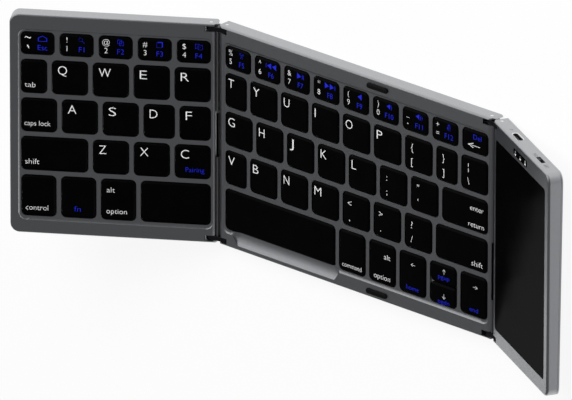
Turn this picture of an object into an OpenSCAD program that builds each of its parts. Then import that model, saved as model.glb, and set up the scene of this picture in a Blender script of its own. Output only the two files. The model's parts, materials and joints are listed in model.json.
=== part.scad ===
// Tri-fold travel keyboard: a centre panel with two wings on double-pivot hinges.
// The left wing and the centre carry keys; the right wing carries a touchpad.
// Every panel is drawn lying flat, with its rim plane at z = 0 and its pin lines along Y, and is
// then placed at the fold angles below. X runs to the right, Y to the rear, Z up.

/* [Fold] */
// Angle by which the left wing is raised from flat
left_fold_angle = 34.2; // [0:0.1:60]
// Angle by which the right wing is raised from flat
right_fold_angle = 28; // [0:0.1:60]

/* [Keys] */
// Distance between letter keys across the keyboard
key_pitch = 17.1; // [16.5:0.1:18]
// Web of the deck between two key wells, side by side
web = 1.74; // [1.5:0.01:2.2]
// Web between two number-row wells, side by side
number_web = 1.93; // [1.5:0.01:2.4]
// Web between two rows of wells
row_web = 1.95; // [1.6:0.01:2.4]
// Front-to-rear size of a letter-key well
letter_h = 15.3; // [14.5:0.1:16]
// Front-to-rear size of a number-key well
number_h = 10.35; // [9.5:0.05:11.5]
// Front-to-rear size of a space-bar-row well
space_h = 18.6; // [17:0.1:20]
// Distance between modifier keys in the space-bar row
modifier_pitch = 16.7; // [15.9:0.1:17]
// Width of the narrow letter keys next to the left hinge
hinge_key_w = 12.02; // [11.2:0.02:12.8]
// Width of the narrow second bracket key
bracket_w = 11.9; // [11:0.1:12.8]
// Width of the tab key's well
tab_w = 11.25; // [10.6:0.05:13.6]
// Width of the enter key's well
enter_w = 25.18; // [24.3:0.02:28.3]
// Corner radius of a well
well_r = 2.3; // [1.6:0.1:2.8]
// Gap between a keycap and its well, all round
key_gap = 0.35; // [0.25:0.05:0.5]
// Depth of a keycap, from its top to the end of its skirt
cap_h = 1.5; // [1.4:0.1:1.6]
// Height of the stepped crown of a keycap
crown_h = 0.35; // [0.2:0.05:0.5]
// Inset of the crown from the keycap's side
crown_inset = 0.55; // [0.3:0.05:0.8]
// Thickness of a keycap's top
cap_roof = 0.8; // [0.7:0.05:0.9]
// Thickness of a keycap's skirt
cap_skirt = 0.9; // [0.7:0.05:1.1]
// Depth of a keycap's top below the rim
cap_drop = 0.2; // [0.1:0.05:0.3]
// Travel of a key
key_travel = 1.2; // [1:0.05:1.25]

/* [Panels] */
// Thickness of a panel at its rear edge
rear_t = 6.5; // [6.4:0.1:7.5]
// Thickness of a panel at its front edge
front_t = 5.4; // [5.4:0.1:6.3]
// Rim between the number row and the rear edge
rear_margin = 7.55; // [7.4:0.05:9]
// Rim between the space-bar row and the front edge
front_margin = 7.7; // [7.4:0.05:9]
// Rim between the left wing's wells and its outer edge
left_margin = 4.6; // [4:0.1:6]
// Rim between the left wing's wells and its hinge edge
left_nose_margin = 2.75; // [2.6:0.05:3.5]
// Rim between the centre wells and the left hinge edge
centre_left_margin = 4.3; // [3.8:0.1:5]
// Rim between the centre wells and the right hinge edge
centre_right_margin = 2.52; // [2.4:0.02:3.4]
// Gap between the two wings when both are folded shut
seam_gap = 0.5; // [0.4:0.1:1]
// Radius of the outer corners, seen from above
corner_r = 4; // [3:0.1:4.5]
// Radius of the corners at the hinges, seen from above
hinge_corner_r = 1; // [0.5:0.1:1]
// Radius of the edge between a panel's face and its outer sides
rim_r = 1; // [0.6:0.1:1.2]
// Thickness of the side walls
wall = 1.8; // [1.6:0.1:2.2]
// Thickness of the bottom covers
cover_t = 0.9; // [0.8:0.05:1]
// Wall between a hinge edge's round and the inside of the panel
nose_wall = 1; // [0.8:0.1:1.4]
// Depth of the recessed key deck
deck_drop = 0.5; // [0.3:0.05:0.6]
// Border of the recess beside and behind the wells
deck_border = 1.1; // [1.1:0.1:1.3]
// Border of the recess in front of the wells
deck_front = 1.7; // [1.2:0.1:2.4]
// Width of the concave wall beside and behind the wells
deck_cove = 1; // [0.6:0.1:1]
// Width of the concave wall in front of the wells
front_cove = 1.6; // [1:0.1:2.2]

/* [Hinges] */
// Distance between the two pins of a hinge link
link_span = 7.2; // [7:0.1:7.6]
// Depth of the pins below the rim, and radius of the hinge edges
pin_drop = 3; // [2.9:0.05:3.1]
// Radius of a hinge pin
pin_r = 0.8; // [0.6:0.05:0.9]
// Running clearance of a pin in its link
pin_play = 0.06; // [0.03:0.01:0.09]
// Radius of a link's round ends
link_r = 2.2; // [2:0.05:2.3]
// Thickness of a link
link_t = 2; // [1.8:0.1:2.2]
// Wall between a link's slot and the panel's front or rear face
slot_wall = 0.9; // [0.7:0.1:1.1]
// Side and end clearance of a link in its slot
slot_gap = 0.2; // [0.15:0.05:0.3]
// Length of pin inboard of the link
pin_tail = 2.4; // [1.8:0.1:2.6]
// Clearance between the spine and the hinge edges
spine_gap = 0.15; // [0.1:0.05:0.25]
// Height of the spine
spine_h = 4.2; // [3.4:0.1:4.4]
// Depth of the cable notches in the hinge edges
notch_depth = 1; // [0.6:0.1:1.1]
// Length of the left hinge's cable notch
left_notch_w = 19.9; // [16:0.1:24]
// Length of the right hinge's cable notch
right_notch_w = 25.2; // [20:0.1:28]
// Distance of the right notch's middle from the panels' middle
right_notch_y = -18; // [-20:0.5:-14]

/* [Thumb scoop] */
// Length of the scoop in front of the space bar
scoop_w = 60.6; // [50:0.1:62]
// Distance from the left end of the wells to the scoop
scoop_x = 3.8; // [3:0.1:6]
// Rim left between the scoop and the front edge
scoop_rim = 2; // [1.8:0.1:3]
// Depth of the scoop at the space bar
scoop_depth = 1.5; // [1:0.1:1.7]
// Length of the S-shaped bend at each end of the scoop
scoop_bend = 4.4; // [3:0.1:6]
// Length over which the scoop's floor rises at each end
scoop_ramp = 6; // [4:0.5:10]

/* [Bumpers and feet] */
// Place of the bumpers, from the centre panel's middle
bumper_x = 13; // [8:0.5:16]
// Length of a bumper
bumper_l = 11.4; // [8:0.1:13]
// Width of a bumper
bumper_w = 2.4; // [2:0.1:2.8]
// Height of a bumper above the rim
bumper_h = 0.9; // [0.5:0.05:0.95]
// Depth of a bumper's seat in the rim
bumper_seat = 0.8; // [0.6:0.1:1]
// Distance of the rear bumper from the rear edge
bumper_rear = 3.6; // [3:0.1:4]
// Distance of the front bumper from the front edge
bumper_front = 2.9; // [2.6:0.1:4]
// Height of the feet at the rear edge
foot_h = 0.9; // [0.8:0.1:1.2]
// Length of a foot
foot_l = 16; // [10:1:20]
// Width of a foot
foot_w = 5; // [4:0.5:6]
// Distance of the feet from the front and rear edges
foot_inset = 13; // [12:0.5:16]
// Distance of the feet from a panel's ends
foot_x = 22; // [20:1:26]

/* [Screws] */
// Radius of a screw's shank
screw_r = 0.7; // [0.5:0.1:0.8]
// Radius of a screw's head
screw_head_r = 1.4; // [1.2:0.1:1.6]
// Thickness of a screw's head
screw_head_h = 0.5; // [0.4:0.05:0.6]
// Length of a screw below its head
screw_l = 2.4; // [2:0.1:2.6]
// Distance of a screw from the front or rear edge
screw_y = 3.9; // [3.5:0.1:4.2]
// Distance of a screw from a panel's end
screw_x = 9; // [8.4:0.1:9.4]
// Clearance of a screw's head in its recess
screw_play = 0.05; // [0.03:0.01:0.1]
// Wall between a screw's recess and the inside of the panel
screw_wall = 0.7; // [0.5:0.1:1]

/* [Key switches] */
// Thickness of the contact membrane
membrane_t = 0.25; // [0.2:0.05:0.3]
// Thickness of the steel support plate
plate_t = 0.4; // [0.3:0.05:0.5]
// Radius of a rubber dome at its base
dome_r = 2.3; // [2:0.1:2.6]
// Height of a rubber dome, pressed flat
dome_h = 0.55; // [0.4:0.05:0.55]
// Width of a rubber dome's top, as a share of its base
dome_taper = 0.6; // [0.4:0.05:0.8]
// Clearance of the inner parts in their housings
fit_gap = 0.15; // [0.1:0.05:0.3]

/* [Touchpad wing] */
// Thickness of the touchpad glass
glass_t = 0.75; // [0.6:0.05:0.8]
// Depth of the glass below the rim
glass_drop = 0.05; // [0:0.05:0.1]
// Rim between the glass and the hinge edge
glass_nose_margin = 4; // [3.6:0.1:6]
// Rim between the glass and the outer edge
glass_margin = 4; // [3.6:0.1:6]
// Rim between the glass and the rear edge
glass_rear = 7.4; // [6.8:0.1:9]
// Rim between the glass and the front edge
glass_front = 6.9; // [6:0.1:9]
// Corner radius of the glass
glass_r = 1.2; // [0.6:0.1:2]
// Ledge that carries the glass
ledge = 1.6; // [1:0.1:2]
// Thickness of the touchpad's board
pad_board_t = 0.9; // [0.8:0.05:1]
// Thickness of the battery
battery_t = 2.1; // [1.8:0.1:2.2]
// Width of the battery
battery_w = 46; // [38:1:48]
// Front-to-rear size of the battery
battery_d = 50; // [40:1:52]
// Distance of the battery from the front end of the touchpad's board
battery_inset = 1; // [0.5:0.1:2]
// Corner radius of the battery
battery_r = 1; // [0.5:0.1:2]
// Front-to-rear size of the main board
board_d = 26; // [20:1:28]
// Thickness of the main board
board_t = 0.7; // [0.6:0.05:0.8]
// Length of the indicator window
window_w = 15.3; // [12:0.1:18]
// Width of the indicator window
window_d = 3; // [2.6:0.1:3.4]
// Distance of the window's middle from the right pin line
window_x = 28.8; // [26:0.1:32]
// Distance of the window's middle from the rear edge
window_y = 4.5; // [4.2:0.1:5]
// Corner radius of the indicator window
window_r = 0.9; // [0.5:0.05:1.2]
// Width of the charging socket
socket_w = 8.94; // [8.8:0.02:9]
// Height of the charging socket
socket_h = 3.2; // [3.1:0.02:3.26]
// Length of the charging socket
socket_l = 7.3; // [6.5:0.1:8]
// Thickness of the socket's shell
socket_wall = 0.3; // [0.2:0.05:0.35]
// Clearance of the socket in the wall and the board
socket_fit = 0.05; // [0.02:0.01:0.1]
// Width of the socket's contact tongue
tongue_w = 6.6; // [6:0.1:6.8]
// Thickness of the socket's contact tongue
tongue_t = 0.7; // [0.6:0.05:0.8]
// Depth of the tongue's end below the rear face
tongue_sink = 0.6; // [0.4:0.1:1]
// Thickness of the socket's back wall
socket_back_t = 1; // [0.6:0.1:1.5]
// Distance of the socket from the right pin line
socket_x = 17.6; // [15:0.1:20]
// Depth of the socket's middle below the rim
socket_z = 3.25; // [3.2:0.05:3.4]
// Length of the power switch's slot
switch_slot_w = 6.6; // [6:0.1:8]
// Height of the power switch's slot
switch_slot_h = 1.8; // [1.5:0.1:2.2]
// Frame of the power switch's body around its slot
switch_frame = 0.6; // [0.4:0.1:0.6]
// Depth of the power switch's body behind the wall
switch_body_d = 3.4; // [2.4:0.1:4]
// Distance of the slot's middle from the right pin line
switch_x = 43.8; // [40:0.1:46]
// Width of the power switch's knob
knob_w = 2.6; // [2:0.1:3]
// Depth of the knob's end below the rear face
knob_sink = 0.2; // [0.1:0.1:0.5]
// Depth of the knob's foot in the switch
knob_foot = 1; // [0.6:0.1:1.4]
// Distance between the grip grooves of the knob
groove_pitch = 0.6; // [0.5:0.1:0.8]
// Width and depth of a grip groove
groove_w = 0.2; // [0.1:0.05:0.3]

/* [Hidden] */

$fn = 48;
eps = 0.01;
arc_steps = 5;
bend_steps = 10;
// Overrun of the scoop's outline past its front rim
scoop_over = 0.2;
case_grey = "#4a4c50";
key_black = "#101011";
steel = "#9a9da2";
rubber_black = "#1a1a1b";
board_green = "#1f5a3c";

// Panels: x runs from the outer edge or hinge edge named, with the pin line at x = 0 on a wing
panel_d = number_h + 3 * letter_h + space_h + 4 * row_web + rear_margin + front_margin;
rear_y = panel_d / 2;
front_y = -panel_d / 2;
left_field = tab_w + 4 * key_pitch;
centre_field = 7 * key_pitch + enter_w;
centre_w = centre_left_margin + centre_field + centre_right_margin;
centre_span = centre_w - 2 * pin_drop;
left_reach = left_field + left_nose_margin + left_margin - pin_drop;
right_reach = centre_span - left_reach - seam_gap;
centre_x0 = -centre_w / 2;
centre_x1 = centre_w / 2;
left_keys_x = left_margin - left_reach;
centre_keys_x = centre_x0 + centre_left_margin;

// Levels below the rim plane
cap_top = -cap_drop;
cap_bottom = cap_top - cap_h;
membrane_top = cap_bottom - key_travel - fit_gap;
plate_top = membrane_top - membrane_t;
pad_board_top = -glass_drop - glass_t;
battery_top = pad_board_top - pad_board_t;
face_z = rear_t + foot_h;

// Hinges: a slot leaves room for the link's round end to turn
slot_w = link_t + 2 * slot_gap;
slot_reach = pin_drop + link_r + slot_gap;
pin_len = slot_wall + slot_w + pin_tail;
screw_recess_r = screw_head_r + 2 * screw_play;
block_x = screw_x + screw_recess_r + screw_wall;
block_y = pin_len + slot_wall;
spine_w = link_span - 2 * pin_drop - 2 * spine_gap;

// Key rows, from the rear: their rear edges, sizes, and the wells' widths from left to right
row_h = [number_h, letter_h, letter_h, letter_h, space_h];
unit_w = key_pitch - web;
modifier_w = modifier_pitch - web;
left_number_w = (left_field - 4 * number_web) / 5;
left_half_w = (left_field - 3 * key_pitch - web) / 2;
centre_number_w = (centre_field - 8 * number_web) / 9;
row_webs = [number_web, web, web, web, web];
left_widths = [
    [for (i = [0:4]) left_number_w],
    [tab_w, unit_w, unit_w, unit_w, unit_w],
    [unit_w, unit_w, unit_w, left_half_w, left_half_w],
    [left_field - 3 * key_pitch, unit_w, unit_w, unit_w],
    [modifier_w, modifier_w, modifier_w, left_field - 3 * modifier_pitch],
];
centre_widths = [
    [for (i = [0:8]) centre_number_w],
    [hinge_key_w, unit_w, unit_w, unit_w, unit_w, unit_w, unit_w, bracket_w,
        centre_field - hinge_key_w - bracket_w - 6 * key_pitch - 2 * web],
    [unit_w, unit_w, unit_w, unit_w, unit_w, unit_w, unit_w, enter_w],
    [hinge_key_w, unit_w, unit_w, unit_w, unit_w, unit_w, unit_w,
        centre_field - hinge_key_w - 6 * key_pitch - web],
    [centre_field - 5 * modifier_pitch, modifier_w, modifier_w, modifier_w, modifier_w,
        modifier_w],
];
arrow_row = 4;
arrow_up_i = 4;

// The rest pose stands on the centre feet, with the origin under the middle of the outline
function side_reach(reach, fold) =
    link_span * cos(fold / 2) + reach * cos(fold) + (rear_t - pin_drop) * sin(fold);
left_end = -centre_span / 2 - side_reach(left_reach, left_fold_angle);
right_end = centre_span / 2 + side_reach(right_reach, right_fold_angle);
centre_offset = -(left_end + right_end) / 2;

function sum_first(v, n) = n <= 0 ? 0 : v[n - 1] + sum_first(v, n - 1);
function row_rear(r) = rear_y - rear_margin - sum_first(row_h, r) - r * row_web;
// A cell is [low x, low y, high x, high y]
function cell(x, widths, r, i) =
    let (a = x + sum_first(widths[r], i) + i * row_webs[r])
    [a, row_rear(r) - row_h[r], a + widths[r][i], row_rear(r)];
function left_cell(r, i) = cell(left_keys_x, left_widths, r, i);
function centre_cell(r, i) = cell(centre_keys_x, centre_widths, r, i);
// The two short arrow keys share one well
function arrow_cell(upper) =
    let (c = centre_cell(arrow_row, arrow_up_i), mid = (c[1] + c[3]) / 2)
    upper ? [c[0], mid - key_gap / 2, c[2], c[3]] : [c[0], c[1], c[2], mid + key_gap / 2];
function inset(c, d) = [c[0] + d, c[1] + d, c[2] - d, c[3] - d];
function arc(x, y, r, from) =
    [for (i = [0:arc_steps]) [x + r * cos(from + 90 * i / arc_steps),
                              y + r * sin(from + 90 * i / arc_steps)]];
function round_cell(c, r) = concat(
    arc(c[2] - r, c[3] - r, r, 0), arc(c[0] + r, c[3] - r, r, 90),
    arc(c[0] + r, c[1] + r, r, 180), arc(c[2] - r, c[1] + r, r, 270));
function bottom_z(y) = -(front_t + (rear_t - front_t) * (y - front_y) / panel_d);

// Placing
module at_centre() translate([centre_offset, 0, face_z]) children();
module at_link(side, fold)
    at_centre() translate([side * centre_span / 2, 0, -pin_drop])
        rotate([0, -side * fold / 2, 0]) children();
module at_wing(side, fold)
    at_link(side, fold) translate([side * link_span, 0, 0])
        rotate([0, -side * fold / 2, 0]) translate([0, 0, pin_drop]) children();
module at_left() at_wing(-1, left_fold_angle) children();
module at_right() at_wing(1, right_fold_angle) children();

// Basic shapes
module prism(c, r, z0, z1)
    translate([0, 0, z0]) linear_extrude(z1 - z0) polygon(round_cell(c, r));
module block(x0, x1, y0, y1, z0, z1) translate([x0, y0, z0]) cube([x1 - x0, y1 - y0, z1 - z0]);
module rod(x, y0, y1, z, r) translate([x, y1, z]) rotate([90, 0, 0]) cylinder(h = y1 - y0, r = r);
module post(x, y, z0, z1, r) translate([x, y, z0]) cylinder(h = z1 - z0, r = r);
module along_x(x0, x1) translate([x0, 0, 0]) rotate([90, 0, 90]) linear_extrude(x1 - x0) children();
module stadium(x, y, l, w, z0, z1) {
    block(x - (l - w) / 2, x + (l - w) / 2, y - w / 2, y + w / 2, z0, z1);
    for (s = [-1, 1]) post(x + s * (l - w) / 2, y, z0, z1, w / 2);
}

// A panel's outline seen from above, with round corners of radius a on the left and b on the right
module outline(x0, x1, a, b, z0, z1) {
    block(x0 + a, x1 - b, front_y, rear_y, z0, z1);
    block(x0, x0 + a, front_y + a, rear_y - a, z0, z1);
    block(x1 - b, x1, front_y + b, rear_y - b, z0, z1);
    for (s = [-1, 1]) {
        post(x0 + a, s * (rear_y - a), z0, z1, a);
        post(x1 - b, s * (rear_y - b), z0, z1, b);
    }
}

// A panel seen from the front: a hinge edge is round about its pin above the pin's level
module side_profile(x0, x1, left_nose, right_nose) {
    a = left_nose ? pin_drop : 0;
    b = right_nose ? pin_drop : 0;
    translate([0, rear_y + eps, 0]) rotate([90, 0, 0]) linear_extrude(panel_d + 2 * eps) {
        translate([x0 + a, -pin_drop]) square([x1 - x0 - a - b, pin_drop]);
        translate([x0, -rear_t]) square([x1 - x0, rear_t - pin_drop]);
        if (left_nose) translate([x0 + a, -pin_drop]) circle(pin_drop);
        if (right_nose) translate([x1 - b, -pin_drop]) circle(pin_drop);
    }
}

// The wedge between two levels above the slanted underside
module wedge(x0, x1, low, high_rear, high_front)
    along_x(x0, x1) polygon([
        [front_y, -front_t + low], [rear_y, -rear_t + low],
        [rear_y, high_rear], [front_y, high_front]]);

// An outer end of a wing from its corners' middles outwards, with its upper edge round
module edge_section(r) {
    translate([0, -rear_t]) square([r, rear_t - rim_r]);
    translate([0, -rear_t]) square([r - rim_r, rear_t]);
    translate([r - rim_r, -rim_r]) circle(rim_r);
}
module round_end(x, away) {
    r = corner_r;
    translate([x - away * r, 0, 0]) {
        mirror([away < 0 ? 1 : 0, 0, 0]) translate([0, rear_y - r, 0]) rotate([90, 0, 0])
            linear_extrude(panel_d - 2 * r) edge_section(r);
        for (s = [-1, 1]) translate([0, s * (rear_y - r), 0]) rotate_extrude() edge_section(r);
    }
}
module hinge_end(x, away) {
    r = hinge_corner_r;
    c = x - away * r;
    block(min(c, x), max(c, x), front_y + r, rear_y - r, -rear_t, 0);
    for (s = [-1, 1]) post(c, s * (rear_y - r), -rear_t, 0, r);
}
module face_section() {
    polygon([[front_y, -front_t + cover_t], [rear_y, -rear_t + cover_t],
        [rear_y, -rim_r], [front_y, -rim_r]]);
    translate([front_y + rim_r, -rim_r]) square([panel_d - 2 * rim_r, rim_r]);
    for (y = [front_y + rim_r, rear_y - rim_r]) translate([y, -rim_r]) circle(rim_r);
}

module shell(x0, x1, left_nose, right_nose) {
    a = left_nose ? hinge_corner_r : corner_r;
    b = right_nose ? hinge_corner_r : corner_r;
    intersection() {
        union() {
            block(x0 + a, x1 - b, front_y, rear_y, -rear_t, 0);
            if (left_nose) hinge_end(x0, -1);
            if (!left_nose) round_end(x0, -1);
            if (right_nose) hinge_end(x1, 1);
            if (!right_nose) round_end(x1, 1);
        }
        side_profile(x0, x1, left_nose, right_nose);
        along_x(x0, x1) face_section();
    }
}

module cover(x0, x1, left_nose, right_nose) {
    a = left_nose ? hinge_corner_r : corner_r;
    b = right_nose ? hinge_corner_r : corner_r;
    difference() {
        intersection() {
            outline(x0, x1, a, b, -rear_t, 0);
            wedge(x0, x1, 0, -rear_t + cover_t, -front_t + cover_t);
        }
        hinge_slots(x0, x1, left_nose, right_nose);
        for (p = screw_places(x0, x1)) screw_hole(p);
    }
}

// Inside of a panel, with solid blocks left in the four corners for pins and screws
function inner_x0(x0, nose) = nose ? x0 + pin_drop + nose_wall : x0 + wall;
function inner_x1(x1, nose) = nose ? x1 - pin_drop - nose_wall : x1 - wall;
module cavity(x0, x1, left_nose, right_nose, top) {
    a = inner_x0(x0, left_nose);
    b = inner_x1(x1, right_nose);
    block(x0 + block_x, x1 - block_x, front_y + wall, rear_y - wall, -rear_t, top);
    block(a, b, front_y + block_y, rear_y - block_y, -rear_t, top);
}
// A flat part that fills the inside of a panel
module inner_plate(x0, x1, left_nose, right_nose, z0, z1) {
    a = inner_x0(x0, left_nose) + fit_gap;
    b = inner_x1(x1, right_nose) - fit_gap;
    block(x0 + block_x + fit_gap, x1 - block_x - fit_gap,
        front_y + wall + fit_gap, rear_y - wall - fit_gap, z0, z1);
    block(a, b, front_y + block_y + fit_gap, rear_y - block_y - fit_gap, z0, z1);
}

// Hinge details
module slot(x0, x1)
    for (s = [-1, 1]) {
        y = s * (rear_y - slot_wall - slot_w / 2);
        block(x0, x1, y - slot_w / 2, y + slot_w / 2, -rear_t - eps, eps);
    }
module hinge_slots(x0, x1, left_nose, right_nose) {
    if (left_nose) slot(x0 - eps, x0 + slot_reach);
    if (right_nose) slot(x1 - slot_reach, x1 + eps);
}
module pins(x, r)
    for (s = [-1, 1])
        rod(x, min(s * rear_y, s * (rear_y - pin_len)), max(s * rear_y, s * (rear_y - pin_len)),
            -pin_drop, r);
module notch(x, y, w)
    block(x - notch_depth, x + notch_depth, y - w / 2, y + w / 2, -pin_drop - spine_h / 2, eps);
module links()
    for (s = [-1, 1])
        translate([0, s * (rear_y - slot_wall - slot_w / 2) + link_t / 2, 0])
            rotate([90, 0, 0]) linear_extrude(link_t) difference() {
                union() {
                    translate([0, -link_r]) square([link_span, 2 * link_r]);
                    circle(link_r);
                    translate([link_span, 0]) circle(link_r);
                }
                circle(pin_r + pin_play);
                translate([link_span, 0]) circle(pin_r + pin_play);
            }
module spine() {
    half = rear_y - slot_wall - slot_gap - link_t;
    block(link_span / 2 - spine_w / 2, link_span / 2 + spine_w / 2, -half, half,
        -spine_h / 2, spine_h / 2);
}

// Screws
function screw_places(x0, x1) =
    [for (x = [x0 + screw_x, x1 - screw_x], s = [-1, 1]) [x, s * (rear_y - screw_y)]];
module screw_hole(p) {
    z = bottom_z(p[1]);
    post(p[0], p[1], z - 1, z + screw_play + screw_head_h, screw_recess_r);
    post(p[0], p[1], z, z + 2 * screw_play + screw_head_h + screw_l, screw_r);
}
module screws(x0, x1)
    color(steel) for (p = screw_places(x0, x1)) {
        z = bottom_z(p[1]) + screw_play;
        difference() {
            post(p[0], p[1], z, z + screw_head_h, screw_head_r);
            post(p[0], p[1], z - eps, z + screw_head_h / 2, screw_r);
        }
        post(p[0], p[1], z + screw_head_h, z + screw_head_h + screw_l, screw_r);
    }

// Feet: their undersides lie in one level plane
module foot(x, y)
    intersection() {
        stadium(x, y, foot_l, foot_w, -face_z, 0);
        along_x(x - foot_l, x + foot_l) polygon([
            [front_y, -front_t], [rear_y, -rear_t], [rear_y, -face_z], [front_y, -face_z]]);
    }
module feet(xs)
    color(rubber_black) for (x = xs, s = [-1, 1]) foot(x, s * (rear_y - foot_inset));

// Keys
module cap(c) {
    d = inset(c, key_gap);
    r = well_r - key_gap;
    color(key_black) difference() {
        union() {
            prism(d, r, cap_bottom, cap_top - crown_h);
            prism(inset(d, crown_inset), r - crown_inset / 2, cap_top - crown_h, cap_top);
        }
        prism(inset(d, cap_skirt), r - crown_inset, cap_bottom - 1, cap_top - cap_roof);
    }
}
module left_caps(r, first, last) at_left() for (i = [first:last]) cap(left_cell(r, i));
module centre_caps(r, first, last) at_centre() for (i = [first:last]) cap(centre_cell(r, i));
module wells(x, widths)
    for (r = [0:4], i = [0:len(widths[r]) - 1])
        prism(cell(x, widths, r, i), well_r, membrane_top - eps, 1);
// Half a section of the deck recess: a level floor, then a concave wall up to the rim at r
function cove(r, w) =
    let (d = deck_drop, q = (w * w + d * d) / (2 * d), a = asin(w / q))
    concat([[0, -d]],
        [for (i = [0:arc_steps]) [r - w + q * sin(a * i / arc_steps),
                                  -d + q * (1 - cos(a * i / arc_steps))]],
        [[r, 1], [0, 1]]);
function both_sides(low_half, high_half, low, high) = concat(
    [for (p = high_half) [high + p[0], p[1]]],
    [for (i = [len(low_half) - 1:-1:0]) [low - low_half[i][0], low_half[i][1]]]);
module deck_recess(x, field) {
    r = well_r + deck_border;
    low = [x - deck_border + r, front_y + front_margin - deck_front + r];
    high = [x + field + deck_border - r, rear_y - rear_margin + deck_border - r];
    side = cove(r, deck_cove);
    along_x(low[0], high[0]) polygon(both_sides(cove(r, front_cove), side, low[1], high[1]));
    translate([0, high[1], 0]) rotate([90, 0, 0]) linear_extrude(high[1] - low[1])
        polygon(both_sides(side, side, low[0], high[0]));
    for (cx = [low[0], high[0]], cy = [low[1], high[1]])
        translate([cx, cy, 0]) rotate_extrude() polygon(side);
}
module dome(c)
    color("#c8c4ba") translate([(c[0] + c[2]) / 2, (c[1] + c[3]) / 2, membrane_top])
        cylinder(h = dome_h, r1 = dome_r, r2 = dome_r * dome_taper);
// The scoop is hollowed along X, rises at both ends and bends out of the recess's front edge
module thumb_scoop() {
    x0 = centre_keys_x + scoop_x;
    x1 = x0 + scoop_w;
    bar_x1 = centre_cell(4, 0)[2];
    key_y = front_y + front_margin;
    deck_y = key_y - deck_front;
    end_y = front_y + scoop_rim - scoop_over;
    reach = front_margin - scoop_rim;
    r = (reach * reach + scoop_depth * scoop_depth) / (2 * scoop_depth);
    bend = [for (i = [0:bend_steps]) [scoop_bend * i / bend_steps,
        end_y + (deck_y - end_y) * (1 + cos(180 * i / bend_steps)) / 2]];
    ramp = [for (i = [0:bend_steps]) [scoop_ramp * i / bend_steps,
        -scoop_depth * sin(90 * i / bend_steps)]];
    intersection() {
        translate([x0, key_y, r - scoop_depth]) rotate([0, 90, 0])
            cylinder(h = scoop_w, r = r, $fn = 96);
        translate([0, 0, -2 * scoop_depth]) linear_extrude(2 * scoop_depth + 1) polygon(concat(
            [for (p = bend) [x0 + p[0], p[1]]],
            [for (i = [bend_steps:-1:0]) [x1 - bend[i][0], bend[i][1]]],
            [[x1, key_y], [bar_x1, key_y], [bar_x1, key_y + well_r], [x0, key_y + well_r]]));
        translate([0, key_y + well_r + 1, 0]) rotate([90, 0, 0])
            linear_extrude(front_margin + well_r + 1) polygon(concat(
                [[x0, 1]], [for (p = ramp) [x0 + p[0], p[1]]],
                [for (i = [bend_steps:-1:0]) [x1 - ramp[i][0], ramp[i][1]]], [[x1, 1]]));
    }
}

// Centre panel
module centre_top_case() at_centre() color(case_grey) difference() {
    shell(centre_x0, centre_x1, true, true);
    cavity(centre_x0, centre_x1, true, true, membrane_top);
    wells(centre_keys_x, centre_widths);
    deck_recess(centre_keys_x, centre_field);
    thumb_scoop();
    hinge_slots(centre_x0, centre_x1, true, true);
    for (s = [-1, 1]) pins(s * centre_span / 2, pin_r);
    notch(centre_x0, 0, left_notch_w);
    notch(centre_x1, right_notch_y, right_notch_w);
    for (y = [rear_y - bumper_rear, front_y + bumper_front])
        stadium(bumper_x, y, bumper_l, bumper_w, -bumper_seat, 1);
    for (p = screw_places(centre_x0, centre_x1)) screw_hole(p);
}
module centre_bottom_cover() at_centre() color(case_grey) cover(centre_x0, centre_x1, true, true);
module centre_support_plate() at_centre() color(steel)
    inner_plate(centre_x0, centre_x1, true, true, plate_top - plate_t, plate_top);
module centre_key_membrane() at_centre() color("#d8dcd0")
    inner_plate(centre_x0, centre_x1, true, true, plate_top, membrane_top);
module centre_rubber_domes() at_centre() {
    for (r = [0:4], i = [0:len(centre_widths[r]) - 1])
        if (r != arrow_row || i != arrow_up_i) dome(centre_cell(r, i));
    for (u = [false, true]) dome(arrow_cell(u));
}
module centre_hinge_pins() at_centre() color(steel)
    for (s = [-1, 1]) pins(s * centre_span / 2, pin_r);
module centre_screws() at_centre() screws(centre_x0, centre_x1);
module centre_feet() at_centre() feet([centre_x0 + foot_x, centre_x1 - foot_x]);
module seam_bumpers() at_centre() color(rubber_black)
    for (y = [rear_y - bumper_rear, front_y + bumper_front])
        stadium(bumper_x, y, bumper_l, bumper_w, -bumper_seat, bumper_h);

// Left wing
module left_top_case() at_left() color(case_grey) difference() {
    shell(-left_reach, pin_drop, false, true);
    cavity(-left_reach, pin_drop, false, true, membrane_top);
    wells(left_keys_x, left_widths);
    deck_recess(left_keys_x, left_field);
    hinge_slots(-left_reach, pin_drop, false, true);
    pins(0, pin_r);
    notch(pin_drop, 0, left_notch_w);
    for (p = screw_places(-left_reach, pin_drop)) screw_hole(p);
}
module left_bottom_cover() at_left() color(case_grey) cover(-left_reach, pin_drop, false, true);
module left_support_plate() at_left() color(steel)
    inner_plate(-left_reach, pin_drop, false, true, plate_top - plate_t, plate_top);
module left_key_membrane() at_left() color("#d8dcd0")
    inner_plate(-left_reach, pin_drop, false, true, plate_top, membrane_top);
module left_rubber_domes() at_left()
    for (r = [0:4], i = [0:len(left_widths[r]) - 1]) dome(left_cell(r, i));
module left_hinge_pins() at_left() color(steel) pins(0, pin_r);
module left_screws() at_left() screws(-left_reach, pin_drop);
module left_feet() at_left() feet([foot_x - left_reach]);

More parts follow.
